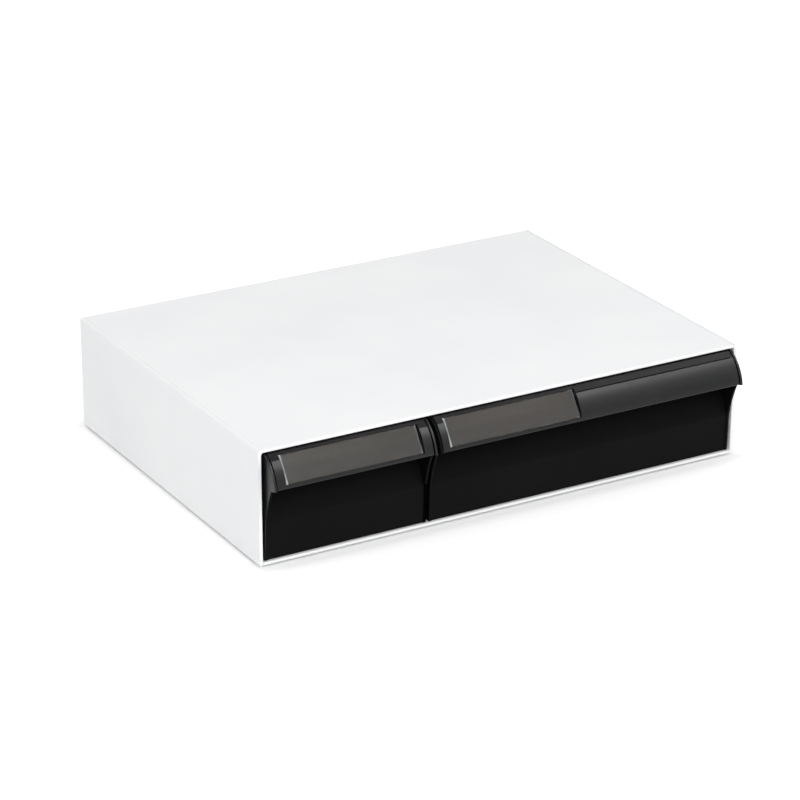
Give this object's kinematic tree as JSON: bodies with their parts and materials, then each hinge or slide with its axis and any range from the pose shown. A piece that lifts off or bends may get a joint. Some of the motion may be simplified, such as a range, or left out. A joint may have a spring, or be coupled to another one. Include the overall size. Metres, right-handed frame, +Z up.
{
  "type": "desktop drawer organizer",
  "caption": "Low white desk case holding a narrow and a wide black drawer side by side, each with a curved full-width pull lip and a slanted label window.",
  "frame": {"origin": "middle of the footprint, on the surface that the feet stand on", "axes": "+X to the right along the front, +Y from front to back, +Z up"},
  "size_m": [0.34, 0.2614, 0.0758],
  "materials": {
    "case_white_plastic": "satin moulded",
    "front_black_plastic": "satin moulded",
    "tray_black_plastic": "fine texture",
    "inner_black_plastic": "matt",
    "foot_rubber": "matt",
    "screw_steel": "zinc plated",
    "label_card_paper": "matt",
    "label_window_clear": "clear gloss"
  },
  "bodies": {
    "case": {"top_panel": "case_white_plastic", "base_panel": "case_white_plastic", "left_side_panel": "case_white_plastic", "right_side_panel": "case_white_plastic", "back_panel": "case_white_plastic", "centre_partition": "inner_black_plastic", "narrow_left_rail": "inner_black_plastic", "narrow_right_rail": "inner_black_plastic", "wide_left_rail": "inner_black_plastic", "wide_right_rail": "inner_black_plastic", "narrow_drawer_stop": "inner_black_plastic", "wide_drawer_stop": "inner_black_plastic", "foot_front_left": "foot_rubber", "foot_front_right": "foot_rubber", "foot_rear_left": "foot_rubber", "foot_rear_right": "foot_rubber", "base_screws": "screw_steel", "back_screws": "screw_steel"},
    "narrow_drawer": {"narrow_tray": "tray_black_plastic", "narrow_drawer_front": "front_black_plastic", "narrow_pull_hood": "front_black_plastic", "narrow_label_card": "label_card_paper", "narrow_label_window": "label_window_clear", "narrow_front_screws": "screw_steel"},
    "wide_drawer": {"wide_tray": "tray_black_plastic", "wide_drawer_front": "front_black_plastic", "wide_pull_hood": "front_black_plastic", "wide_label_card": "label_card_paper", "wide_label_window": "label_window_clear", "wide_front_screws": "screw_steel"}
  },
  "joints": [
    {"name": "narrow_drawer_slide", "type": "slide", "parent": "case", "child": "narrow_drawer", "axis": [0, -1, 0], "range_m": [0, 0.19]},
    {"name": "wide_drawer_slide", "type": "slide", "parent": "case", "child": "wide_drawer", "axis": [0, -1, 0], "range_m": [0, 0.19]}
  ]
}
